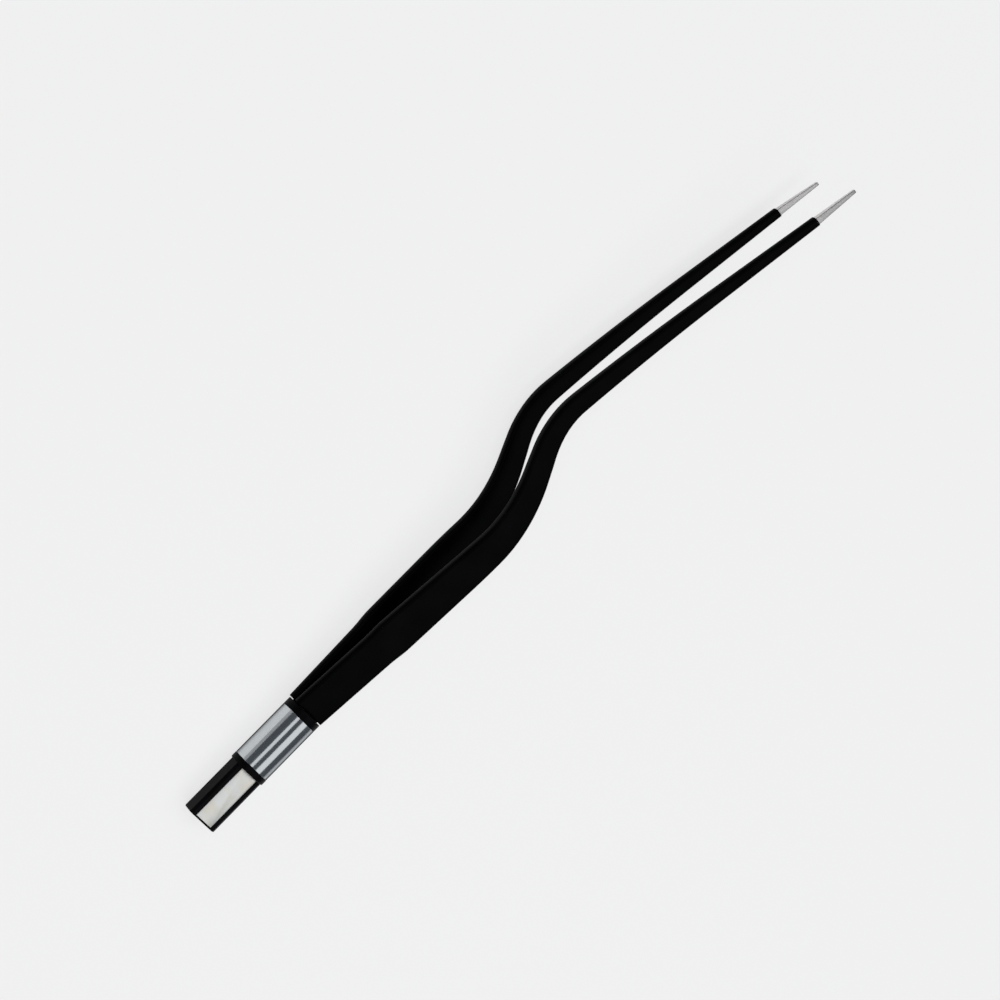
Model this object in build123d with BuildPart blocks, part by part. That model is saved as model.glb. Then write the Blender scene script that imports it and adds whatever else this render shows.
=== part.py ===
from build123d import *
import os

# Bayonet bipolar forceps lying on its side, in millimetres.
# X runs from the plug's rear face to the tips, Y is the side to which the bayonet steps,
# and Z is the closing direction: one arm lies above the mid-plane and its twin below it.
# The origin is the centre of the plug's rear face.

# Plug, flange, ferrule and collar, from the rear to the front
plug_length = 14.9
plug_width = 8.0
plug_thickness = 4.85
plug_bevel = 0.6
end_bevel = 0.3
flange_length = 1.55
flange_diameter = 9.5
ferrule_length = 15.15
ferrule_diameter = 9.4
ferrule_wall = 0.4
collar_length = 1.9
collar_bevel = 0.2
spigot_length = 4.0
collar_spigot_length = 1.6
fit_gap = 0.05

# Contact strips: a flat pad on each wide face of the plug, with a tail to the arm's tang
pad_width = 4.9
pad_end_margin = 0.4
strip_thickness = 0.6
tail_width = 3.2
spacer_thickness = 0.6
spacer_width = 6.6
joggle_length = 3.0

# Tang of each arm, held inside the ferrule
tang_length = 9.0
tang_width = 6.0
tang_thickness = 1.2
tang_corner = 0.8
tang_gap = 0.3
pivot_from_mouth = 6.5

# Rivet through the tang and the contact's tail
rivet_diameter = 1.8
rivet_head_diameter = 2.8
rivet_head_height = 0.5
rivet_head_bevel = 0.25
rivet_gap = 0.1

# Arm: places along X, counted from the collar's front face
neck_length = 22.1
grip_step = 3.0
grip_length = 27.0
bend_place = 64.7
crest_place = 85.9
tine_bow_place = 114.0
insulated_length = 163.5
bare_tip_length = 12.3
coat_start = 0.2

# Arm: side to which the centre line steps, at the same places
mouth_offset = 0.15
bend_offset = -1.7
crest_offset = 9.85
tine_bow_offset = 6.75
tip_offset = -3.1
bend_ease = 9.5
crest_ease = 6.8
tine_bow_ease = 20.5

# Arm: distance of the centre line from the mid-plane
mouth_spread = 1.8
grip_spread = 6.55
insulation_spread = 8.55
tip_spread = 8.05
spread_ease = 6.0
tip_ease = 2.0

# Arm: width in the plane of the bayonet and thickness in the closing direction, coat included
mouth_width = 8.7
neck_width = 9.0
grip_width = 9.65
grip_end_width = 8.45
crest_width = 5.2
tine_end_width = 2.55
mouth_thickness = 2.3
grip_thickness = 2.5
crest_thickness = 2.85
tine_end_thickness = 2.2
step_ease = 1.4
blade_ease = 6.0
edge_radius = 0.95
coat_thickness = 0.35
edge_break = 0.25
step_sections = 3
bend_sections = 8
crest_sections = 7
bow_sections = 3

# Bare tip
tip_end_width = 0.95
tip_end_thickness = 0.8
nose_length = 0.4

# Places along X that follow from the sizes above
flange_front = plug_length + flange_length
ferrule_front = flange_front + ferrule_length
mouth = ferrule_front + collar_length
coat_rear = mouth + coat_start
neck_end = mouth + neck_length
grip_start = neck_end + grip_step
grip_end = grip_start + grip_length
bend_x = mouth + bend_place
crest_x = mouth + crest_place
tine_bow_x = mouth + tine_bow_place
coat_front = mouth + insulated_length
tip_x = coat_front + bare_tip_length
pivot_x = mouth - pivot_from_mouth
tang_rear = mouth - tang_length
tail_front = pivot_x + rivet_head_diameter
strip_inner = spacer_thickness / 2
pad_inner = plug_thickness / 2 - strip_thickness
bore_radius = ferrule_diameter / 2 - ferrule_wall
core_radius = bore_radius - fit_gap
filler_rear = flange_front + spigot_length
filler_front = ferrule_front - collar_spigot_length
slot_height = tang_thickness + 2 * tang_gap


def rounded_polyline(x, points, eases):
    """Value at x on a line through the points, whose inner corners are eased over that much each way."""
    slopes = [(b[1] - a[1]) / (b[0] - a[0]) for a, b in zip(points, points[1:])]
    value = points[0][1] + slopes[0] * (x - points[0][0])
    for corner, before, after, ease in zip(points[1:], slopes, slopes[1:], eases):
        past = min(max(x - corner[0] + ease, 0), 2 * ease)
        turned = past**2 / (4 * ease) + max(x - corner[0] - ease, 0)
        value += (after - before) * turned
    return value


def offset_at(x):
    points = [(mouth, mouth_offset), (bend_x, bend_offset), (crest_x, crest_offset),
              (tine_bow_x, tine_bow_offset), (tip_x, tip_offset)]
    return rounded_polyline(x, points, [bend_ease, crest_ease, tine_bow_ease])


def spread_at(x):
    points = [(mouth, mouth_spread), (grip_end, grip_spread),
              (coat_front, insulation_spread), (tip_x, tip_spread)]
    return rounded_polyline(x, points, [spread_ease, tip_ease])


def width_at(x):
    points = [(mouth, mouth_width), (neck_end, neck_width), (grip_start, grip_width),
              (grip_end, grip_end_width), (crest_x, crest_width), (coat_front, tine_end_width)]
    return rounded_polyline(x, points, [step_ease, step_ease, blade_ease, blade_ease])


def thickness_at(x):
    points = [(mouth, mouth_thickness), (grip_start, grip_thickness),
              (crest_x, crest_thickness), (coat_front, tine_end_thickness)]
    return rounded_polyline(x, points, [blade_ease, blade_ease])


def slant_at(x):
    """Widening of an upright section where the centre line runs at a slope."""
    step = 0.1
    slope = (offset_at(x + step) - offset_at(x - step)) / (2 * step)
    return (1 + slope**2) ** 0.5


def place_at(x, side):
    """Upright plane across the forceps, centred on the arm."""
    return Plane(origin=(x, offset_at(x), side * spread_at(x)), x_dir=(0, 1, 0), z_dir=(1, 0, 0))


def coat_section(x, side):
    """Rounded section over the coat, on the upright plane at x."""
    with BuildSketch(place_at(x, side)) as outline:
        RectangleRounded(width_at(x) * slant_at(x), thickness_at(x), edge_radius)
    return outline.sketch


def steel_section(x, side, width, thickness):
    """Section of the steel with its edges broken, on the upright plane at x."""
    with BuildSketch(place_at(x, side)) as outline:
        Rectangle(width * slant_at(x), thickness)
        chamfer(outline.vertices(), edge_break * thickness)
    return outline.sketch


def stations():
    """Places of the sections under the coat: few where the arm is straight, many in its bends."""
    spans = [
        (neck_end - step_ease, 1),
        (grip_start + step_ease, step_sections),
        (grip_end - spread_ease, 1),
        (bend_x + bend_ease, bend_sections),
        (crest_x - crest_ease, 1),
        (crest_x + crest_ease, crest_sections),
        (tine_bow_x - tine_bow_ease, 1),
        (tine_bow_x + tine_bow_ease, bow_sections),
        (coat_front, 1),
    ]
    places = [coat_rear]
    for end, count in spans:
        start = places[-1]
        places += [start + (end - start) * (i + 1) / count for i in range(count)]
    return places


def make_coat(side, arm):
    """Black insulating coat: the arm's outer form, with the steel cut out of it."""
    with BuildPart() as coat:
        loft(sections=[coat_section(x, side) for x in stations()], ruled=True)
        add(arm.part, mode=Mode.SUBTRACT)
    return coat


def make_arm(side):
    """Spring arm of one piece of steel: tang, grip, bayonet, tine and bare tip."""
    under = 2 * coat_thickness
    sections = [steel_section(x, side, width_at(x) - under, thickness_at(x) - under) for x in stations()]
    sections.append(steel_section(tip_x - nose_length, side, tip_end_width, tip_end_thickness))
    sections.append(steel_section(tip_x, side, tip_end_width / 2, tip_end_thickness / 2))
    tang_plane = Plane.XY.offset(side * mouth_spread - tang_thickness / 2)
    with BuildPart() as arm:
        loft(sections=sections, ruled=True)
        with BuildSketch(tang_plane) as tang:
            with Locations(((tang_rear + coat_rear + fit_gap) / 2, 0)):
                Rectangle(coat_rear + fit_gap - tang_rear, tang_width)
            chamfer(tang.vertices().group_by(Axis.X)[0], tang_corner)
            with Locations((pivot_x, 0)):
                Circle(rivet_diameter / 2 + rivet_gap, mode=Mode.SUBTRACT)
        extrude(amount=tang_thickness)
    return arm


def make_contact(side):
    """Contact strip: pad in the plug's wide face, joggle through the flange, tail under the tang."""
    joggle_end = plug_length + joggle_length
    with BuildPart() as contact:
        with BuildSketch(Plane.XZ.offset(-pad_width / 2)):
            with BuildLine():
                Polyline(
                    (pad_end_margin, side * pad_inner),
                    (plug_length, side * pad_inner),
                    (joggle_end, side * strip_inner),
                    (tail_front, side * strip_inner),
                    (tail_front, side * (strip_inner + strip_thickness)),
                    (joggle_end, side * (strip_inner + strip_thickness)),
                    (plug_length, side * (pad_inner + strip_thickness)),
                    (pad_end_margin, side * (pad_inner + strip_thickness)),
                    close=True,
                )
            make_face()
        extrude(amount=pad_width)
        with BuildSketch(Plane.XY.offset(-plug_thickness / 2)):
            with Locations((tail_front / 2, 0)):
                Rectangle(tail_front, pad_width)
            tail_run = tail_front - plug_length
            for edge in (1, -1):
                with Locations((plug_length + tail_run / 2, edge * (tail_width + pad_width) / 4)):
                    Rectangle(tail_run, (pad_width - tail_width) / 2, mode=Mode.SUBTRACT)
        extrude(amount=plug_thickness, mode=Mode.INTERSECT)
        with Locations((pivot_x, 0, side * (strip_inner + strip_thickness / 2))):
            Cylinder(rivet_diameter / 2, strip_thickness, mode=Mode.SUBTRACT)
    return contact


def make_rivet(side):
    """Rivet: its foot is closed flush in the contact's tail and its head sits over the tang."""
    head_under = mouth_spread + tang_thickness / 2 + rivet_gap
    shank = head_under - strip_inner
    with BuildPart() as rivet:
        with Locations((pivot_x, 0, side * (strip_inner + shank / 2))):
            Cylinder(rivet_diameter / 2, shank)
        with Locations((pivot_x, 0, side * (head_under + rivet_head_height / 2))):
            Cylinder(rivet_head_diameter / 2, rivet_head_height)
        outer_face = rivet.faces().sort_by(Axis.Z)[-1 if side > 0 else 0]
        chamfer(outer_face.edges(), rivet_head_bevel)
    return rivet


arm_upper = make_arm(1)
arm_lower = make_arm(-1)
coat_upper = make_coat(1, arm_upper)
coat_lower = make_coat(-1, arm_lower)
contact_upper = make_contact(1)
contact_lower = make_contact(-1)
rivet_upper = make_rivet(1)
rivet_lower = make_rivet(-1)

# Spacer strip that keeps the two contact tails apart
with BuildPart() as spacer:
    with BuildSketch(Plane.XY.offset(-spacer_thickness / 2)):
        with Locations(((filler_rear + filler_front) / 2, 0)):
            Rectangle(filler_front - filler_rear, spacer_width)
    extrude(amount=spacer_thickness)

# Moulded plug body: bevelled blade, round flange and a spigot inside the ferrule
with BuildPart() as plug_body:
    with BuildSketch(Plane.YZ) as blade:
        Rectangle(plug_width, plug_thickness)
        chamfer(blade.vertices(), plug_bevel)
    extrude(amount=plug_length)
    chamfer(plug_body.faces().sort_by(Axis.X)[0].edges(), end_bevel)
    with BuildSketch(Plane.YZ.offset(plug_length)):
        Circle(flange_diameter / 2)
    extrude(amount=flange_length)
    chamfer(plug_body.edges().filter_by(GeomType.CIRCLE).sort_by(Axis.X)[0], end_bevel)
    with BuildSketch(Plane.YZ.offset(flange_front)):
        Circle(core_radius)
    extrude(amount=spigot_length)
    add(contact_upper.part, mode=Mode.SUBTRACT)
    add(contact_lower.part, mode=Mode.SUBTRACT)

# Steel ferrule
with BuildPart() as ferrule:
    with BuildSketch(Plane.YZ.offset(flange_front)):
        Circle(ferrule_diameter / 2)
        Circle(bore_radius, mode=Mode.SUBTRACT)
    extrude(amount=ferrule_length)

# Moulded collar that closes the ferrule's front, with a slot for each tang
with BuildPart() as collar:
    with BuildSketch(Plane.YZ.offset(ferrule_front)):
        Circle(ferrule_diameter / 2)
    extrude(amount=collar_length)
    chamfer(collar.edges().filter_by(GeomType.CIRCLE).sort_by(Axis.X)[-1], collar_bevel)
    with BuildSketch(Plane.YZ.offset(ferrule_front)):
        Circle(core_radius)
    extrude(amount=-collar_spigot_length)
    with BuildSketch(Plane.YZ.offset(mouth)):
        with Locations((0, mouth_spread), (0, -mouth_spread)):
            Rectangle(tang_width + 2 * tang_gap, slot_height)
    extrude(amount=-(collar_length + collar_spigot_length), mode=Mode.SUBTRACT)

# Cast filler between the plug's spigot and the collar's, round the tails and the tangs
with BuildPart() as filler:
    with BuildSketch(Plane.YZ.offset(filler_rear)):
        Circle(core_radius)
    extrude(amount=filler_front - filler_rear)
    for side in (1, -1):
        with BuildSketch(Plane.XY.offset(side * mouth_spread - slot_height / 2)):
            with Locations(((tang_rear - tang_gap + filler_front) / 2, 0)):
                Rectangle(filler_front - tang_rear + tang_gap, tang_width + 2 * tang_gap)
        extrude(amount=slot_height, mode=Mode.SUBTRACT)
        head_room = rivet_head_height + 2 * rivet_gap
        head_middle = mouth_spread + tang_thickness / 2 + head_room / 2
        with Locations((pivot_x, 0, side * head_middle)):
            Cylinder(rivet_head_diameter / 2 + rivet_gap, head_room, mode=Mode.SUBTRACT)
    for inner in (contact_upper, contact_lower, spacer, rivet_upper, rivet_lower):
        add(inner.part, mode=Mode.SUBTRACT)

pieces = {
    "arm_upper": arm_upper,
    "arm_lower": arm_lower,
    "coat_upper": coat_upper,
    "coat_lower": coat_lower,
    "contact_upper": contact_upper,
    "contact_lower": contact_lower,
    "rivet_upper": rivet_upper,
    "rivet_lower": rivet_lower,
    "spacer": spacer,
    "plug_body": plug_body,
    "ferrule": ferrule,
    "collar": collar,
    "filler": filler,
}
os.makedirs("parts", exist_ok=True)
for name, piece in pieces.items():
    piece.part.label = name
    export_step(piece.part, f"parts/{name}.step")
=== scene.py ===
from collections import Counter
from math import atan, cos, pi, radians, sin

import bmesh
import bpy
from bpy.props import FloatProperty, FloatVectorProperty, PointerProperty
from bpy.types import Operator, Panel, PropertyGroup
from mathutils import Matrix, Vector


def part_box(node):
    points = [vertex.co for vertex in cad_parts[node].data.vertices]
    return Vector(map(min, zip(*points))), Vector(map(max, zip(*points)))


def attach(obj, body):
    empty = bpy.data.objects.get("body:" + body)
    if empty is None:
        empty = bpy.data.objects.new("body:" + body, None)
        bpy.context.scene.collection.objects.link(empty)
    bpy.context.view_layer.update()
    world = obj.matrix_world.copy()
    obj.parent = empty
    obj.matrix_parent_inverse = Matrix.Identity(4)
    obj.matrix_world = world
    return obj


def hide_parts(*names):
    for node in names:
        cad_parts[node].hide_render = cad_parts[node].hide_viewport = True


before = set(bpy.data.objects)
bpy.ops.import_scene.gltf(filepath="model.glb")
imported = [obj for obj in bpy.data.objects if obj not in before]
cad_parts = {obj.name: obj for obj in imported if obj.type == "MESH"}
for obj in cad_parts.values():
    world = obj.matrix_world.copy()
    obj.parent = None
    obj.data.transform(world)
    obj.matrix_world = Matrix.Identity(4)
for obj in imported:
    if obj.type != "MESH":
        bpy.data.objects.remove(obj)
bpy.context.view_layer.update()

bl_info = {
    "name": "Bayonet Bipolar Forceps",
    "version": (1, 0, 0),
    "blender": (4, 5, 0),
    "location": "3D Viewport > Sidebar > Forceps",
    "description": "Dresses the forceps: coated arms, bare tips, plug, ferrule and stage",
    "category": "Add Mesh",
}

MM = 0.001
SIDES = {"upper": 1, "lower": -1}
RING = 128          # facets round the flange, ferrule, collar and floor
HAIR = 1e-6         # closer than this, two places count as one


# Sizes and colours

def srgb(code):
    """Linear red, green and blue of an sRGB hex colour."""
    parts = [int(code[i:i + 2], 16) / 255 for i in (1, 3, 5)]
    return [c / 12.92 if c <= 0.04045 else ((c + 0.055) / 1.055) ** 2.4 for c in parts]


def length(label, about, size):
    return FloatProperty(name=label, description=about, default=size * MM, unit="LENGTH",
                         precision=5)


def colour(label, about, code):
    return FloatVectorProperty(name=label, description=about, default=srgb(code), size=3,
                               subtype="COLOR", min=0, max=1)


class ForcepsArmSizes(PropertyGroup):
    """Run of one arm, in the same laws as the CAD source."""

    mouth: length("Mouth", "Place along X where the arms leave the collar", 33.5)
    coat_start: length("Coat start", "Bare strip between collar and coat", 0.2)
    neck_length: length("Neck length", "Slim part behind the grip", 22.1)
    grip_step: length("Grip step", "Length over which the neck widens to the grip", 3.0)
    grip_length: length("Grip length", "Wide part that the fingers hold", 27.0)
    bend_place: length("Bend place", "Bottom of the bayonet, from the mouth", 64.7)
    crest_place: length("Crest place", "Top of the bayonet, from the mouth", 85.9)
    bow_place: length("Bow place", "Middle of the tine's bow, from the mouth", 114.0)
    insulated_length: length("Insulated length", "Coated length, from the mouth", 163.5)
    bare_tip_length: length("Bare tip length", "Steel that shows past the coat", 12.3)
    mouth_offset: length("Mouth offset", "Centre line's offset at the mouth", 0.15)
    bend_offset: length("Bend offset", "Centre line's offset at the bend", -1.7)
    crest_offset: length("Crest offset", "Centre line's offset at the crest", 9.85)
    bow_offset: length("Bow offset", "Centre line's offset at the bow", 6.75)
    tip_offset: length("Tip offset", "Centre line's offset at the tip", -3.1)
    bend_ease: length("Bend ease", "Half length of the bend's curve", 9.5)
    crest_ease: length("Crest ease", "Half length of the crest's curve", 6.8)
    bow_ease: length("Bow ease", "Half length of the tine's bow", 20.5)
    mouth_spread: length("Mouth spread", "Arm from mid-plane at the mouth", 1.8)
    grip_spread: length("Grip spread", "Arm from mid-plane at the grip's end", 6.55)
    coat_spread: length("Coat spread", "Arm from mid-plane at the coat's end", 8.55)
    tip_spread: length("Tip spread", "Arm from mid-plane at the tip", 8.05)
    spread_ease: length("Spread ease", "Half length of the curve in the closing plane", 6.0)
    tip_ease: length("Tip ease", "Half length of the curve at the coat's end", 2.0)
    mouth_width: length("Mouth width", "Width at the mouth", 8.7)
    neck_width: length("Neck width", "Width of the neck", 9.0)
    grip_width: length("Grip width", "Width where the grip starts", 9.65)
    grip_end_width: length("Grip end width", "Width where the grip ends", 8.45)
    crest_width: length("Crest width", "Width at the crest", 5.2)
    tine_end_width: length("Tine end width", "Width at the coat's end", 2.55)
    mouth_thickness: length("Mouth thickness", "Thickness at the mouth", 2.3)
    grip_thickness: length("Grip thickness", "Thickness of the grip", 2.5)
    crest_thickness: length("Crest thickness", "Thickness at the crest", 2.85)
    tine_end_thickness: length("Tine end thickness", "Thickness at the coat's end", 2.2)
    step_ease: length("Step ease", "Half length of the curves at the grip's step", 1.4)
    blade_ease: length("Blade ease", "Half length of the other curves in width", 6.0)


class ForcepsDetailSizes(PropertyGroup):
    """Edges and ends of the coats, bare tips, plug, ferrule and collar, and the floor's tilt."""

    coat_edge: length("Coat edge", "Radius of the coat's long edges", 0.95)
    coat_lip: length("Coat lip", "Radius of the rim at the coat's ends", 0.14)
    coat_thickness: length("Coat thickness", "Insulation on the steel", 0.35)
    station_gap: length("Station gap", "Distance between sections of a coat", 1.6)
    tip_end_width: length("Tip end width", "Width of the bare tip at its end", 0.95)
    tip_end_thickness: length("Tip end thickness", "Thickness of the tip's end", 0.8)
    tip_edge: length("Tip edge", "Radius of the bare tip's long edges", 0.24)
    tip_nose: length("Tip nose", "Rounding of the bare tip's end", 0.3)
    tip_root: length("Tip root", "Length of the bare tip hidden in the coat", 4.0)
    plug_width: length("Plug width", "Width of the plug's blade", 8.0)
    plug_bevel: length("Plug bevel", "Bevel on the plug's long edges", 0.6)
    plug_end_bevel: length("Plug end bevel", "Bevel round the plug's rear face", 0.3)
    seam: length("Seam", "Gap round a contact pad", 0.05)
    pad_width: length("Pad width", "Width of a contact pad", 4.9)
    pad_margin: length("Pad margin", "Moulding left behind a contact pad", 0.4)
    pad_depth: length("Pad depth", "Depth of the pocket under a contact pad", 0.6)
    pad_edge: length("Pad edge", "Stamped radius on a contact pad's rim", 0.12)
    flange_length: length("Flange length", "Length of the plug's flange", 1.55)
    flange_edge: length("Flange edge", "Radius of the flange's rims", 0.3)
    ferrule_wall: length("Ferrule wall", "Wall of the steel ferrule", 0.4)
    ferrule_edge: length("Ferrule edge", "Radius of the ferrule's rims", 0.12)
    spigot_length: length("Spigot length", "Plug's spigot inside the ferrule", 4.0)
    collar_edge: length("Collar edge", "Radius of the collar's front rim", 0.2)
    fit_gap: length("Fit gap", "Gap between spigot and ferrule", 0.05)
    slot_width: length("Slot width", "Width of the collar's slots", 6.6)
    slot_height: length("Slot height", "Height of the collar's slots", 1.8)
    floor_tilt: FloatProperty(name="Floor tilt", default=radians(2.5), subtype="ANGLE",
                              description="Lean of the line on which the forceps rests")


class ForcepsColours(PropertyGroup):
    """Colours as they look, stored linear."""

    coat: colour("Coat", "Nylon dip coat on the arms", "#020202")
    coat_pale: colour("Coat, pale", "Nylon where the dip ran thin", "#040405")
    steel: colour("Steel", "Ground steel of the arms and tips", "#E6E3E1")
    steel_dark: colour("Steel, dark", "Hollows of the grinding marks", "#C5C2C0")
    ferrule: colour("Ferrule", "Polished tube", "#C6CACC")
    contact: colour("Contact", "Plated pads", "#E2E3E0")
    contact_warm: colour("Contact, worn", "Plating rubbed by the socket", "#DCD9CF")
    plug: colour("Plug", "Moulded plug and flange", "#050506")
    collar: colour("Collar", "Moulded collar", "#040405")
    spacer: colour("Spacer", "Strip between the contacts", "#8A5A2E")
    filler: colour("Filler", "Cast filler in the ferrule", "#1A1512")
    floor: colour("Floor", "Floor and backdrop", "#F1F1F1")
    room: colour("Room", "Dim world round the stage", "#565A60")


# Laws of the arm

def rounded_polyline(x, points, eases):
    """Value at x on a line through the points, whose inner corners are eased that much each way."""
    slopes = [(b[1] - a[1]) / (b[0] - a[0]) for a, b in zip(points, points[1:])]
    value = points[0][1] + slopes[0] * (x - points[0][0])
    for corner, before, after, ease in zip(points[1:], slopes, slopes[1:], eases):
        past = min(max(x - corner[0] + ease, 0), 2 * ease)
        turned = past**2 / (4 * ease) + max(x - corner[0] - ease, 0)
        value += (after - before) * turned
    return value


class ArmRun:
    """Centre line, width and thickness of an arm at each place along X."""

    def __init__(self, s):
        self.s = s
        self.coat_rear = s.mouth + s.coat_start
        self.neck_end = s.mouth + s.neck_length
        self.grip_start = self.neck_end + s.grip_step
        self.grip_end = self.grip_start + s.grip_length
        self.bend = s.mouth + s.bend_place
        self.crest = s.mouth + s.crest_place
        self.bow = s.mouth + s.bow_place
        self.coat_front = s.mouth + s.insulated_length
        self.tip = self.coat_front + s.bare_tip_length

    def offset(self, x):
        s = self.s
        points = [(s.mouth, s.mouth_offset), (self.bend, s.bend_offset),
                  (self.crest, s.crest_offset), (self.bow, s.bow_offset), (self.tip, s.tip_offset)]
        return rounded_polyline(x, points, [s.bend_ease, s.crest_ease, s.bow_ease])

    def spread(self, x):
        s = self.s
        points = [(s.mouth, s.mouth_spread), (self.grip_end, s.grip_spread),
                  (self.coat_front, s.coat_spread), (self.tip, s.tip_spread)]
        return rounded_polyline(x, points, [s.spread_ease, s.tip_ease])

    def width(self, x):
        s = self.s
        points = [(s.mouth, s.mouth_width), (self.neck_end, s.neck_width),
                  (self.grip_start, s.grip_width), (self.grip_end, s.grip_end_width),
                  (self.crest, s.crest_width), (self.coat_front, s.tine_end_width)]
        eases = [s.step_ease, s.step_ease, s.blade_ease, s.blade_ease]
        return rounded_polyline(x, points, eases)

    def thickness(self, x):
        s = self.s
        points = [(s.mouth, s.mouth_thickness), (self.grip_start, s.grip_thickness),
                  (self.crest, s.crest_thickness), (self.coat_front, s.tine_end_thickness)]
        return rounded_polyline(x, points, [s.blade_ease, s.blade_ease])

    def slant(self, x):
        """Widening of an upright section where the centre line runs at a slope."""
        step = 0.1 * MM
        slope = (self.offset(x + step) - self.offset(x - step)) / (2 * step)
        return (1 + slope**2) ** 0.5


# Mesh tools

def everything(bm):
    return bm.verts[:] + bm.edges[:] + bm.faces[:]


def bevel(bm, edges, size, segments):
    bmesh.ops.bevel(bm, geom=edges, offset=size, offset_type="OFFSET", segments=segments,
                    profile=0.5, affect="EDGES", material=-1, clamp_overlap=True)


def bar(bm, places, run, side, half_width, half_height):
    """Bar cut at the places, each cut moved to the arm's centre line and given its own size."""
    bmesh.ops.create_cube(bm, size=1)
    for vert in bm.verts:
        vert.co.x = places[0] if vert.co.x < 0 else places[-1]
    for place in places[1:-1]:
        bmesh.ops.bisect_plane(bm, geom=everything(bm), plane_co=(place, 0, 0), plane_no=(1, 0, 0))
    for vert in bm.verts:
        x = vert.co.x
        vert.co.y = run.offset(x) + 2 * vert.co.y * half_width(x) * run.slant(x)
        vert.co.z = side * run.spread(x) + 2 * vert.co.z * half_height(x)


def long_edges(bm):
    return [e for e in bm.edges if abs(e.verts[0].co.x - e.verts[1].co.x) > HAIR]


def rim_edges(bm, place):
    return [e for e in bm.edges if all(abs(v.co.x - place) < HAIR for v in e.verts)]


def faces_at(bm, place, axis=0):
    """Faces that lie flat at a place along an axis, which is X unless given."""
    return [f for f in bm.faces if all(abs(v.co[axis] - place) < HAIR for v in f.verts)]


def score(bm, faces, point, way):
    """Cuts the faces where a plane crosses them and leaves all others whole."""
    edges = dict.fromkeys(e for f in faces for e in f.edges)
    verts = dict.fromkeys(v for f in faces for v in f.verts)
    bmesh.ops.bisect_plane(bm, geom=[*faces, *edges, *verts], plane_co=point, plane_no=way,
                           dist=HAIR)


def even_places(start, end, gap):
    count = max(1, round((end - start) / gap))
    return [start + (end - start) * i / count for i in range(count + 1)]


def ring_on(bm, radius, place):
    """Rim of a disc whose face looks along X."""
    turn = Matrix.Translation((place, 0, 0)) @ Matrix.Rotation(pi / 2, 4, "Y")
    bmesh.ops.create_circle(bm, cap_ends=True, segments=RING, radius=radius, matrix=turn)


def run_ring(bm, edges, steps):
    """Carries a ring of edges through the (place, radius) steps and returns the last ring."""
    for place, radius in steps:
        made = bmesh.ops.extrude_edge_only(bm, edges=edges)["geom"]
        edges = [g for g in made if isinstance(g, bmesh.types.BMEdge)]
        for vert in {v for e in edges for v in e.verts}:
            out = Vector((0, vert.co.y, vert.co.z)).normalized() * radius
            vert.co = (place, out.y, out.z)
    return edges


def rounding(place, radius, size, start, end, steps=4):
    """(place, radius) steps of a quarter round about a centre, from one angle to the other."""
    angles = [start + (end - start) * i / steps for i in range(steps + 1)]
    return [(place + size * cos(a), radius + size * sin(a)) for a in angles]


def to_object(bm, name, sharp=35):
    """Turns the faces outwards, smooths all corners below so many degrees, and makes an object."""
    bmesh.ops.recalc_face_normals(bm, faces=bm.faces)
    mesh = bpy.data.meshes.new(name)
    bm.to_mesh(mesh)
    bm.free()
    mesh.shade_smooth()
    mesh.set_sharp_from_angle(angle=radians(sharp))
    obj = bpy.data.objects.new(name, mesh)
    bpy.context.scene.collection.objects.link(obj)
    return obj


def sink(bm, faces, move):
    """Extrudes the faces by a move, leaves nothing where they were and returns the moved ones."""
    made = bmesh.ops.extrude_face_region(bm, geom=faces)["geom"]
    bmesh.ops.delete(bm, geom=[f for f in faces if f.is_valid], context="FACES_ONLY")
    bmesh.ops.translate(bm, vec=move, verts=[g for g in made if isinstance(g, bmesh.types.BMVert)])
    return [g for g in made if isinstance(g, bmesh.types.BMFace)]


def merged_copy(node):
    """bmesh of a CAD node's triangles with their corners joined and flat faces made whole."""
    flat = radians(0.5)
    bm = bmesh.new()
    bm.from_mesh(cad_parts[node].data)
    bmesh.ops.remove_doubles(bm, verts=bm.verts, dist=HAIR)
    bmesh.ops.dissolve_limit(bm, angle_limit=flat, verts=bm.verts, edges=bm.edges)
    return bm


def dress(obj, material):
    obj.data.materials.clear()
    obj.data.materials.append(material)


# Materials

def new_material(name, **sockets):
    """Material whose shader has these fixed values. Returns it with its tree and shader."""
    material = bpy.data.materials.get(name) or bpy.data.materials.new(name)
    material.use_nodes = True
    tree = material.node_tree
    tree.nodes.clear()
    shader = tree.nodes.new("ShaderNodeBsdfPrincipled")
    output = tree.nodes.new("ShaderNodeOutputMaterial")
    tree.links.new(shader.outputs["BSDF"], output.inputs["Surface"])
    for socket, value in sockets.items():
        shader.inputs[socket.replace("_", " ")].default_value = value
    return material, tree, shader


def add_node(tree, kind, settings=None, values=None, links=None):
    """Adds a node with its settings, its input values and its links from (node, output)."""
    node = tree.nodes.new("ShaderNode" + kind)
    for name, value in (settings or {}).items():
        setattr(node, name, value)
    for name, value in (values or {}).items():
        node.inputs[name].default_value = value
    for name, (source, output) in (links or {}).items():
        tree.links.new(source.outputs[output], node.inputs[name])
    return node


def per(size_mm):
    """Pattern scale that repeats about once in so many millimetres."""
    return 1 / (size_mm * MM)


def tint(tree, shader, noise, low, high, start=0.35, end=0.65):
    """Runs the base colour from low to high over a noise."""
    ramp = add_node(tree, "ValToRGB", links={"Fac": (noise, "Fac")})
    for stop, place, code in zip(ramp.color_ramp.elements, (start, end), (low, high)):
        stop.position, stop.color = place, (*code, 1)
    tree.links.new(ramp.outputs["Color"], shader.inputs["Base Color"])


def scaled(colour, share):
    """Lighter or darker colour of the same hue."""
    return [channel * share for channel in colour]


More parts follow.
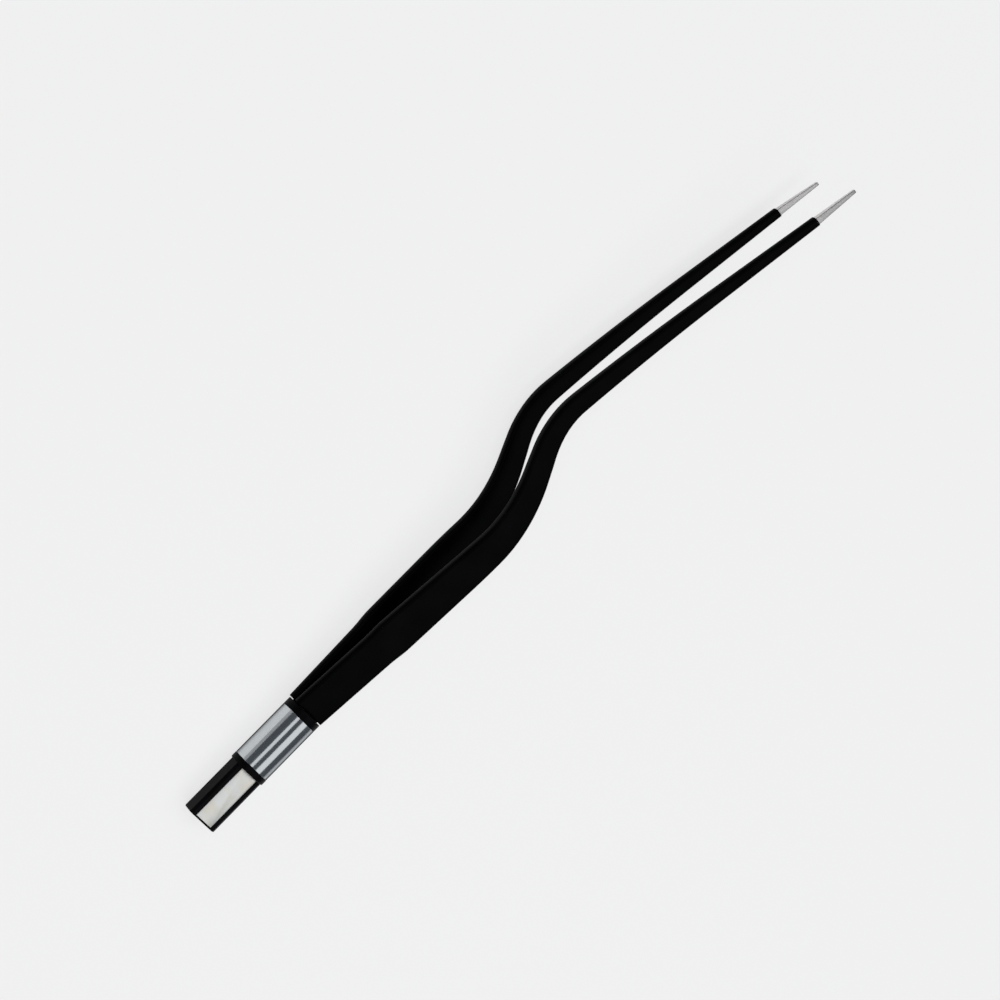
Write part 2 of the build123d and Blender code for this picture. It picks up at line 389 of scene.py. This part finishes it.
def vary_roughness(tree, shader, noise, low, high):
    """Runs the roughness from low to high over a noise."""
    spread = add_node(tree, "MapRange", values={"To Min": low, "To Max": high},
                      links={"Value": (noise, "Fac")})
    tree.links.new(spread.outputs["Result"], shader.inputs["Roughness"])


def raise_surface(tree, shader, noise, depth_mm, strength):
    """Bumps the surface by a noise whose full depth is given in millimetres."""
    bump = add_node(tree, "Bump", values={"Strength": strength, "Distance": depth_mm * MM},
                    links={"Height": (noise, "Fac")})
    tree.links.new(bump.outputs["Normal"], shader.inputs["Normal"])


def noise_on(tree, size_mm, detail=2.0, stretch=(1, 1, 1)):
    """Noise on the piece's own coordinates, stretched along an axis where a grain runs."""
    place = add_node(tree, "TexCoord")
    turn = add_node(tree, "Mapping", values={"Scale": stretch}, links={"Vector": (place, "Object")})
    return add_node(tree, "TexNoise", values={"Scale": per(size_mm), "Detail": detail},
                    links={"Vector": (turn, "Vector")})


def make_dip_coat(colours):
    """Nylon, dip coated: near black and satin, with the faint orange peel that a dip leaves."""
    material, tree, shader = new_material("nylon_dip_coat", IOR=1.53, Specular_IOR_Level=0.022)
    peel = noise_on(tree, size_mm=0.9, detail=1)
    cloud = noise_on(tree, size_mm=7, detail=2)
    tint(tree, shader, cloud, colours.coat, colours.coat_pale)
    vary_roughness(tree, shader, cloud, low=0.24, high=0.32)
    raise_surface(tree, shader, peel, depth_mm=0.012, strength=0.5)
    return material


def make_ground_steel(colours):
    """Stainless spring steel, ground lengthwise and passivated: an even mid grey with a
    fine grain along the arm."""
    material, tree, shader = new_material("stainless_ground", Metallic=1.0)
    # Real grinding marks are about 0.02 mm apart. They are drawn at 0.06 mm, so that they show.
    grain = noise_on(tree, size_mm=0.06, detail=3, stretch=(0.03, 1, 1))
    tint(tree, shader, grain, colours.steel_dark, colours.steel, start=0.3, end=0.7)
    vary_roughness(tree, shader, grain, low=0.36, high=0.46)
    raise_surface(tree, shader, grain, depth_mm=0.004, strength=0.35)
    return material


def make_polished_tube(colours):
    """Stainless tube, drawn and polished: clear reflections along it, drawn lines just
    visible, and darker where it turns away, because the metal's edge tint is black."""
    material, tree, shader = new_material("stainless_polished", Metallic=1.0,
                                          Specular_Tint=(0.0, 0.0, 0.0, 1.0))
    lines = noise_on(tree, size_mm=0.12, detail=3, stretch=(0.02, 1, 1))
    smear = noise_on(tree, size_mm=5, detail=3)
    shader.inputs["Base Color"].default_value = (*colours.ferrule, 1)
    vary_roughness(tree, shader, smear, low=0.10, high=0.17)
    raise_surface(tree, shader, lines, depth_mm=0.003, strength=0.12)
    return material


def make_plated_contact(colours):
    """Brass strip, nickel plated and tumbled: pale matte grey, mottled where the socket rubs."""
    material, tree, shader = new_material("nickel_plated_brass", Metallic=1.0)
    patches = noise_on(tree, size_mm=3.2, detail=3)
    pits = noise_on(tree, size_mm=0.14, detail=2)
    tint(tree, shader, patches, colours.contact_warm, colours.contact, start=0.38, end=0.6)
    vary_roughness(tree, shader, patches, low=0.27, high=0.36)
    raise_surface(tree, shader, pits, depth_mm=0.004, strength=0.3)
    return material


def make_moulded(name, black):
    """Glass-filled polyester, injection moulded: black, with the fine spark-eroded skin of
    its mould."""
    material, tree, shader = new_material(name, IOR=1.55, Specular_IOR_Level=0.03)
    # The eroded grain is about 0.05 mm. It is drawn at 0.12 mm, so that it shows.
    skin = noise_on(tree, size_mm=0.12, detail=2)
    flow = noise_on(tree, size_mm=4, detail=2)
    tint(tree, shader, flow, black, scaled(black, 1.6))
    vary_roughness(tree, shader, flow, low=0.34, high=0.44)
    raise_surface(tree, shader, skin, depth_mm=0.006, strength=0.35)
    return material


def make_headed_wire(colours):
    """Stainless rivet wire, cold headed: satin, with faint upsetting marks."""
    material, tree, shader = new_material("stainless_cold_headed", Metallic=1.0)
    marks = noise_on(tree, size_mm=0.3, detail=2)
    tint(tree, shader, marks, colours.steel_dark, colours.steel)
    vary_roughness(tree, shader, marks, low=0.26, high=0.36)
    return material


def make_laminate(colours):
    """Paper laminate with phenolic resin, sheared: brown, dull, with a weak fibre direction."""
    material, tree, shader = new_material("phenolic_laminate", IOR=1.6)
    fibre = noise_on(tree, size_mm=0.2, detail=3, stretch=(0.1, 1, 1))
    tint(tree, shader, fibre, scaled(colours.spacer, 0.7), colours.spacer)
    vary_roughness(tree, shader, fibre, low=0.5, high=0.62)
    return material


def make_cast_resin(colours):
    """Epoxy, cast and cured: dark and glossy, with small voids."""
    material, tree, shader = new_material("epoxy_cast", IOR=1.55)
    voids = noise_on(tree, size_mm=0.8, detail=2)
    tint(tree, shader, voids, colours.filler, scaled(colours.filler, 1.8))
    vary_roughness(tree, shader, voids, low=0.16, high=0.3)
    raise_surface(tree, shader, voids, depth_mm=0.01, strength=0.2)
    return material


# Operators

class FORCEPS_OT_stage(Operator):
    """Camera of the photograph, floor with its backdrop, lamps and world"""

    bl_idname = "forceps.stage"
    bl_label = "Stage"

    def execute(self, context):
        make_camera(context)
        make_floor(context)
        make_lamps(context)
        make_world(context)
        return {"FINISHED"}


def make_camera(context):
    """Camera at the photograph's place: it looks down on the forceps, with a roll of 45 degrees."""
    turn, lean, roll = radians(7.83), radians(27.52), radians(45.48)
    target, distance = Vector((98.93, 2.08, 0)) * MM, 500 * MM
    focal_pixels, frame_pixels, half_pixel = 2178.1, 1000, 0.5
    sensor_mm, nearest, farthest = 36, 10 * MM, 20
    back = Vector((-sin(turn), cos(turn) * sin(lean), cos(turn) * cos(lean)))
    along = (Vector((1, 0, 0)) - back * back.x).normalized()
    across = back.cross(along)
    right = along * cos(roll) - across * sin(roll)
    up = along * sin(roll) + across * cos(roll)
    data = bpy.data.cameras.new("photo_camera")
    data.sensor_width = sensor_mm
    data.lens = focal_pixels / frame_pixels * sensor_mm
    # The fit to the photograph counted its pixels from the middle of the first one.
    data.shift_x, data.shift_y = -half_pixel / frame_pixels, half_pixel / frame_pixels
    data.clip_start, data.clip_end = nearest, farthest
    camera = bpy.data.objects.new("photo_camera", data)
    camera.matrix_world = (Matrix.Translation(target + back * distance)
                           @ Matrix((right, up, back)).transposed().to_4x4())
    context.scene.collection.objects.link(camera)
    context.scene.camera = camera
    context.scene.view_settings.view_transform = "Standard"


def floor_place(sizes):
    """Place of the floor: it touches the flange's rim and leans as the forceps rests on it."""
    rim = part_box("ferrule")[0].x - sizes.flange_length + sizes.flange_edge
    rest = Vector((rim, 0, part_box("plug_body")[0].z))
    return Matrix.Translation(rest) @ Matrix.Rotation(sizes.floor_tilt, 4, "Y")


def make_floor(context):
    """Pale round floor that curves up to a low backdrop, higher on the bayonet's side."""
    flat_radius, cove_radius, cove_turns = 1.8, 0.4, (15, 30, 45, 60, 75)
    wall_height, wall_flare, side_lift = 0.56, 0.1, 0.34
    turns = [radians(turn) for turn in cove_turns]
    steps = [(flat_radius + cove_radius * sin(turn), cove_radius * (1 - cos(turn)))
             for turn in turns]
    steps.append((steps[-1][0] + wall_flare, wall_height))
    bm = bmesh.new()
    bmesh.ops.create_circle(bm, cap_ends=True, segments=RING, radius=flat_radius)
    edges = bm.edges[:]
    for radius, height in steps:
        made = bmesh.ops.extrude_edge_only(bm, edges=edges)["geom"]
        edges = [g for g in made if isinstance(g, bmesh.types.BMEdge)]
        for vert in {v for e in edges for v in e.verts}:
            out = Vector((vert.co.x, vert.co.y, 0)).normalized() * radius
            vert.co = (out.x, out.y, height * (1 + side_lift * out.y / radius))
    bmesh.ops.transform(bm, verts=bm.verts, matrix=floor_place(context.scene.forceps_details))
    floor = to_object(bm, "floor")
    dress(floor, make_floor_paper(context.scene.forceps_colours))


def make_floor_paper(colours):
    """Matt backdrop paper: to the eye and in reflections it is an even pale grey, with a
    weak shadow of what lies on it."""
    seen_glow, mirrored_glow = 0.82, 0.35
    material, tree, shader = new_material("backdrop_paper", Roughness=0.9, Specular_IOR_Level=0.0)
    shader.inputs["Base Color"].default_value = (*colours.floor, 1)
    rays = add_node(tree, "LightPath")
    mirrored = add_node(tree, "Math", {"operation": "MAXIMUM"},
                        links={0: (rays, "Is Glossy Ray"), 1: (rays, "Is Transmission Ray")})
    mirrored = add_node(tree, "Math", {"operation": "MULTIPLY"}, {1: mirrored_glow},
                        {0: (mirrored, "Value")})
    share = add_node(tree, "Math", {"operation": "MULTIPLY_ADD"}, {1: seen_glow},
                     {0: (rays, "Is Camera Ray"), 2: (mirrored, "Value")})
    glow = add_node(tree, "Emission", values={"Color": (*colours.floor, 1), "Strength": 1.0})
    mix = add_node(tree, "MixShader", links={0: (share, "Value"), 1: (shader, "BSDF"),
                                            2: (glow, "Emission")})
    output = next(n for n in tree.nodes if n.type == "OUTPUT_MATERIAL")
    tree.links.new(mix.outputs["Shader"], output.inputs["Surface"])
    return material


def make_lamps(context):
    """Two soft boxes that the ferrule mirrors as bands, and a wide soft fill."""
    add_softbox(context, "side_softbox", turn=114.9, lean=0.05, distance=0.70,
                size=(1.20, 0.42), radiance=0.92)
    add_softbox(context, "top_strip", turn=64.7, lean=0.05, distance=0.70,
                size=(1.20, 0.21), radiance=0.85)
    add_softbox(context, "fill", turn=90, lean=0.0, distance=1.1,
                size=(1.6, 1.6), radiance=1.5, mirrored=False)


def add_softbox(context, name, turn, lean, distance, size, radiance, mirrored=True):
    """Lamp that looks at the ferrule, with its long side along it. Its way is turned by so many
    degrees from +Y about the forceps' length, and slopes along X by the lean."""
    ferrule_middle = Vector((24 * MM, 0, 0))
    upright = cos(atan(lean))
    way = Vector((lean, cos(radians(turn)) * upright, sin(radians(turn)) * upright)).normalized()
    along = Vector((1, 0, 0))
    along = (along - way * along.dot(way)).normalized()
    data = bpy.data.lights.new(name, "AREA")
    data.shape = "RECTANGLE"
    data.size, data.size_y = size
    data.energy = radiance * pi * data.size * data.size_y
    lamp = bpy.data.objects.new(name, data)
    lamp.matrix_world = (Matrix.Translation(ferrule_middle + way * distance)
                         @ Matrix((along, way.cross(along), way)).transposed().to_4x4())
    lamp.visible_glossy = mirrored
    lamp.visible_camera = False
    context.scene.collection.objects.link(lamp)


def make_world(context):
    """Dim grey room, which the ferrule mirrors above the backdrop."""
    world = bpy.data.worlds.new("dim_studio")
    world.use_nodes = True
    background = world.node_tree.nodes["Background"]
    background.inputs["Color"].default_value = (*context.scene.forceps_colours.room, 1)
    context.scene.world = world


class FORCEPS_OT_coats(Operator):
    """Black insulating coat over each arm, with rounded long edges and a thin lip at each end"""

    bl_idname = "forceps.coats"
    bl_label = "Insulating coats"

    def execute(self, context):
        run = ArmRun(context.scene.forceps_arm)
        sizes = context.scene.forceps_details
        material = make_dip_coat(context.scene.forceps_colours)
        places = even_places(run.coat_rear, run.coat_front, sizes.station_gap)
        for name, side in SIDES.items():
            bm = bmesh.new()
            bar(bm, places, run, side, lambda x: run.width(x) / 2, lambda x: run.thickness(x) / 2)
            bevel(bm, long_edges(bm), sizes.coat_edge, segments=6)
            rims = rim_edges(bm, places[0]) + rim_edges(bm, places[-1])
            bevel(bm, rims, sizes.coat_lip, segments=3)
            coat = to_object(bm, f"coat_{name}_dipped")
            dress(coat, material)
            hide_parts(f"coat_{name}")
            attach(coat, f"{name}_arm")
        return {"FINISHED"}


class FORCEPS_OT_arms(Operator):
    """Steel of each arm: tang and blade as in the CAD, with a rounded bare tip"""

    bl_idname = "forceps.arms"
    bl_label = "Steel arms"

    def execute(self, context):
        run = ArmRun(context.scene.forceps_arm)
        sizes = context.scene.forceps_details
        material = make_ground_steel(context.scene.forceps_colours)
        root = run.coat_front - sizes.tip_root
        for name, side in SIDES.items():
            bm = make_tip(run, sizes, side, root)
            add_blade(bm, f"arm_{name}", root)
            arm = to_object(bm, f"arm_{name}_ground")
            dress(arm, material)
            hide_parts(f"arm_{name}")
            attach(arm, f"{name}_arm")
        return {"FINISHED"}


def make_tip(run, sizes, side, root):
    """Bare tip: tapers from the steel inside the coat to a small blunt end."""
    s = run.s
    start_width = s.tine_end_width - 2 * sizes.coat_thickness
    start_thickness = s.tine_end_thickness - 2 * sizes.coat_thickness

    def taper(x, start, end):
        share = min(max((x - run.coat_front) / s.bare_tip_length, 0), 1)
        return (start + (end - start) * share) / 2

    section_gap = 1.5 * MM
    places = [root] + even_places(run.coat_front, run.tip, section_gap)
    bm = bmesh.new()
    bar(bm, places, run, side, lambda x: taper(x, start_width, sizes.tip_end_width),
        lambda x: taper(x, start_thickness, sizes.tip_end_thickness))
    bevel(bm, long_edges(bm), sizes.tip_edge, segments=4)
    bevel(bm, rim_edges(bm, run.tip), sizes.tip_nose, segments=4)
    return bm


def add_blade(bm, node, cut):
    """Adds the CAD arm behind the cut and joins it to the bare tip's root."""
    open_face = faces_at(bm, cut)
    tip_ring = open_face[0].edges[:]
    bmesh.ops.delete(bm, geom=open_face, context="FACES_ONLY")
    tip_parts = set(everything(bm))
    bm.from_mesh(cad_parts[node].data)
    blade = [g for g in everything(bm) if g not in tip_parts]
    bmesh.ops.remove_doubles(bm, verts=[g for g in blade if isinstance(g, bmesh.types.BMVert)],
                             dist=HAIR)
    blade = [g for g in everything(bm) if g not in tip_parts]
    made = bmesh.ops.bisect_plane(bm, geom=blade, plane_co=(cut, 0, 0), plane_no=(1, 0, 0),
                                  clear_outer=True)
    blade_ring = [g for g in made["geom_cut"] if isinstance(g, bmesh.types.BMEdge)]
    bmesh.ops.bridge_loops(bm, edges=tip_ring + blade_ring)


class FORCEPS_OT_plug(Operator):
    """Moulded plug body: bevelled blade with two pockets, round flange and hidden spigot"""

    bl_idname = "forceps.plug"
    bl_label = "Plug body"

    def execute(self, context):
        sizes = context.scene.forceps_details
        ferrule_low, ferrule_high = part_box("ferrule")
        flange_front = ferrule_low.x
        flange_rear = flange_front - sizes.flange_length
        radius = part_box("plug_body")[1].y
        rear_edge, front_edge = sizes.flange_edge, sizes.flange_edge / 2
        core = ferrule_high.y - sizes.ferrule_wall - sizes.fit_gap
        steps = rounding(flange_rear + rear_edge, radius - rear_edge, rear_edge, pi, pi / 2)[1:]
        steps += rounding(flange_front - front_edge, radius - front_edge, front_edge, pi / 2, 0)
        steps += [(flange_front, core), (flange_front + sizes.spigot_length, core)]
        bm = bmesh.new()
        ring_on(bm, radius - rear_edge, flange_rear)
        last = run_ring(bm, bm.edges[:], steps)
        bmesh.ops.edgeloop_fill(bm, edges=last)
        draw_blade(bm, sizes, flange_rear)
        plug = to_object(bm, "plug_body_moulded", sharp=30)
        dress(plug, make_moulded("polyester_moulded", context.scene.forceps_colours.plug))
        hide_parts("plug_body")
        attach(plug, "plug_and_ferrule")
        return {"FINISHED"}


def draw_blade(bm, sizes, flange_rear):
    """Draws the flat blade out of the flange's rear face and sinks the pads' pockets in it."""
    half_width, half_height = sizes.plug_width / 2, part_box("contact_upper")[1].z
    corner = half_width + half_height - sizes.plug_bevel
    walls = [((half_width, 0), (1, 0)), ((0, half_height), (0, 1)), ((corner, 0), (1, 1))]
    for (y, z), (across, up) in walls:
        for sy, sz in ((1, 1), (1, -1), (-1, 1), (-1, -1)):
            score(bm, faces_at(bm, flange_rear), (flange_rear, y * sy, z * sz),
                  (0, across * sy, up * sz))
    core = min(faces_at(bm, flange_rear), key=lambda f: f.calc_center_median().yz.length)
    end = sink(bm, [core], (-flange_rear, 0, 0))[0]
    bevel(bm, end.edges[:], sizes.plug_end_bevel, segments=3)
    for side in SIDES.values():
        cut_pocket(bm, sizes, side, side * half_height)


def cut_pocket(bm, sizes, side, level):
    """Sinks the pocket of a contact pad, with its seam, in the wide face at this height."""
    half = sizes.pad_width / 2 + sizes.seam
    start = sizes.pad_margin - sizes.seam
    cuts = [((0, half, 0), (0, 1, 0)), ((0, -half, 0), (0, -1, 0)), ((start, 0, 0), (-1, 0, 0))]
    for point, way in cuts:
        score(bm, faces_at(bm, level, axis=2), point, way)
    floor = [f for f in faces_at(bm, level, axis=2)
             if abs(f.calc_center_median().y) < half and f.calc_center_median().x > start]
    sink(bm, floor, (0, 0, -side * sizes.pad_depth))


class FORCEPS_OT_contacts(Operator):
    """Contact strips: the CAD form with the stamped edge of its pad rounded"""

    bl_idname = "forceps.contacts"
    bl_label = "Contact strips"

    def execute(self, context):
        sizes = context.scene.forceps_details
        material = make_plated_contact(context.scene.forceps_colours)
        for name, side in SIDES.items():
            bm = merged_copy(f"contact_{name}")
            level = max(side * v.co.z for v in bm.verts)
            rim = [e for e in bm.edges if all(abs(side * v.co.z - level) < HAIR for v in e.verts)]
            bevel(bm, rim, sizes.pad_edge, segments=3)
            contact = to_object(bm, f"contact_{name}_plated", sharp=30)
            dress(contact, material)
            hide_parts(f"contact_{name}")
            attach(contact, "plug_and_ferrule")
        return {"FINISHED"}


class FORCEPS_OT_ferrule(Operator):
    """Polished steel ferrule: a thin tube with rolled rims"""

    bl_idname = "forceps.ferrule"
    bl_label = "Ferrule"

    def execute(self, context):
        sizes = context.scene.forceps_details
        low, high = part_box("ferrule")
        outer, inner = high.y, high.y - sizes.ferrule_wall
        corners = [(low.x, inner), (low.x, outer), (high.x, outer), (high.x, inner)]
        bm = bmesh.new()
        verts = [bm.verts.new((x, 0, radius)) for x, radius in corners]
        edges = [bm.edges.new((a, b)) for a, b in zip(verts, verts[1:] + verts[:1])]
        bmesh.ops.bevel(bm, geom=verts, offset=sizes.ferrule_edge, offset_type="OFFSET",
                        segments=4, profile=0.5, affect="VERTICES", material=-1)
        bmesh.ops.spin(bm, geom=bm.verts[:] + bm.edges[:], cent=(0, 0, 0), axis=(1, 0, 0),
                       angle=2 * pi, steps=RING, use_merge=True)
        tube = to_object(bm, "ferrule_polished", sharp=40)
        dress(tube, make_polished_tube(context.scene.forceps_colours))
        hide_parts("ferrule")
        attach(tube, "plug_and_ferrule")
        return {"FINISHED"}


class FORCEPS_OT_collar(Operator):
    """Moulded collar at the ferrule's front, with a slot for each arm's tang"""

    bl_idname = "forceps.collar"
    bl_label = "Collar"

    def execute(self, context):
        sizes = context.scene.forceps_details
        arm = context.scene.forceps_arm
        low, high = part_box("collar")
        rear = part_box("ferrule")[1].x
        radius, edge = high.y, sizes.collar_edge
        core = radius - sizes.ferrule_wall - sizes.fit_gap
        steps = [(rear, core), (rear, radius)]
        steps += rounding(high.x - edge, radius - edge, edge, pi / 2, 0)
        bm = bmesh.new()
        ring_on(bm, core, low.x)
        last = run_ring(bm, bm.edges[:], steps)
        bmesh.ops.edgeloop_fill(bm, edges=last)
        for side in SIDES.values():
            cut_slot(bm, sizes, side * arm.mouth_spread, low.x, high.x)
        collar = to_object(bm, "collar_moulded", sharp=30)
        dress(collar, make_moulded("polyester_moulded_collar",
                                   context.scene.forceps_colours.collar))
        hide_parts("collar")
        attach(collar, "plug_and_ferrule")
        return {"FINISHED"}


def cut_slot(bm, sizes, centre, rear, front):
    """Cuts a rectangular slot right through from the collar's rear face to its front face."""
    half_width, half_height = sizes.slot_width / 2, sizes.slot_height / 2
    walls = [((0, half_width, 0), (0, 1, 0)), ((0, -half_width, 0), (0, 1, 0)),
             ((0, 0, centre + half_height), (0, 0, 1)), ((0, 0, centre - half_height), (0, 0, 1))]
    mouths = []
    for place in (rear, front):
        for point, way in walls:
            score(bm, faces_at(bm, place), point, way)
        inside = [f for f in faces_at(bm, place)
                  if abs(f.calc_center_median().y) < half_width
                  and abs(f.calc_center_median().z - centre) < half_height]
        counts = Counter(edge for face in inside for edge in face.edges)
        mouths += [edge for edge, count in counts.items() if count == 1]
        bmesh.ops.delete(bm, geom=inside, context="FACES")
    bmesh.ops.bridge_loops(bm, edges=[e for e in mouths if e.is_valid])


class FORCEPS_OT_inner_parts(Operator):
    """Finish of the parts inside the ferrule, whose CAD forms stay as they are"""

    bl_idname = "forceps.inner_parts"
    bl_label = "Inner parts"

    def execute(self, context):
        colours = context.scene.forceps_colours
        rivet_steel = make_headed_wire(colours)
        finishes = {"rivet_upper": rivet_steel, "rivet_lower": rivet_steel,
                    "spacer": make_laminate(colours), "filler": make_cast_resin(colours)}
        for node, material in finishes.items():
            dress(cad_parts[node], material)
        return {"FINISHED"}


class FORCEPS_PT_panel(Panel):
    """Lists the steps that dress the forceps"""

    bl_idname = "FORCEPS_PT_panel"
    bl_label = "Bayonet Bipolar Forceps"
    bl_space_type = "VIEW_3D"
    bl_region_type = "UI"
    bl_category = "Forceps"

    def draw(self, context):
        for step in STEPS:
            self.layout.operator(step.bl_idname)
        for group in ("forceps_arm", "forceps_details", "forceps_colours"):
            owner = getattr(context.scene, group)
            box = self.layout.box()
            for name in owner.__annotations__:
                box.prop(owner, name)


STEPS = (FORCEPS_OT_stage, FORCEPS_OT_coats, FORCEPS_OT_arms, FORCEPS_OT_plug,
         FORCEPS_OT_contacts, FORCEPS_OT_ferrule, FORCEPS_OT_collar, FORCEPS_OT_inner_parts)
CLASSES = (ForcepsArmSizes, ForcepsDetailSizes, ForcepsColours, *STEPS, FORCEPS_PT_panel)


def register():
    for cls in CLASSES:
        bpy.utils.register_class(cls)
    bpy.types.Scene.forceps_arm = PointerProperty(type=ForcepsArmSizes)
    bpy.types.Scene.forceps_details = PointerProperty(type=ForcepsDetailSizes)
    bpy.types.Scene.forceps_colours = PointerProperty(type=ForcepsColours)


def unregister():
    del bpy.types.Scene.forceps_arm
    del bpy.types.Scene.forceps_details
    del bpy.types.Scene.forceps_colours
    for cls in reversed(CLASSES):
        bpy.utils.unregister_class(cls)


def main():
    register()
    bpy.ops.forceps.stage()
    bpy.ops.forceps.coats()
    bpy.ops.forceps.arms()
    bpy.ops.forceps.plug()
    bpy.ops.forceps.contacts()
    bpy.ops.forceps.ferrule()
    bpy.ops.forceps.collar()
    bpy.ops.forceps.inner_parts()
    bpy.context.view_layer.update()


if __name__ == "__main__":
    main()
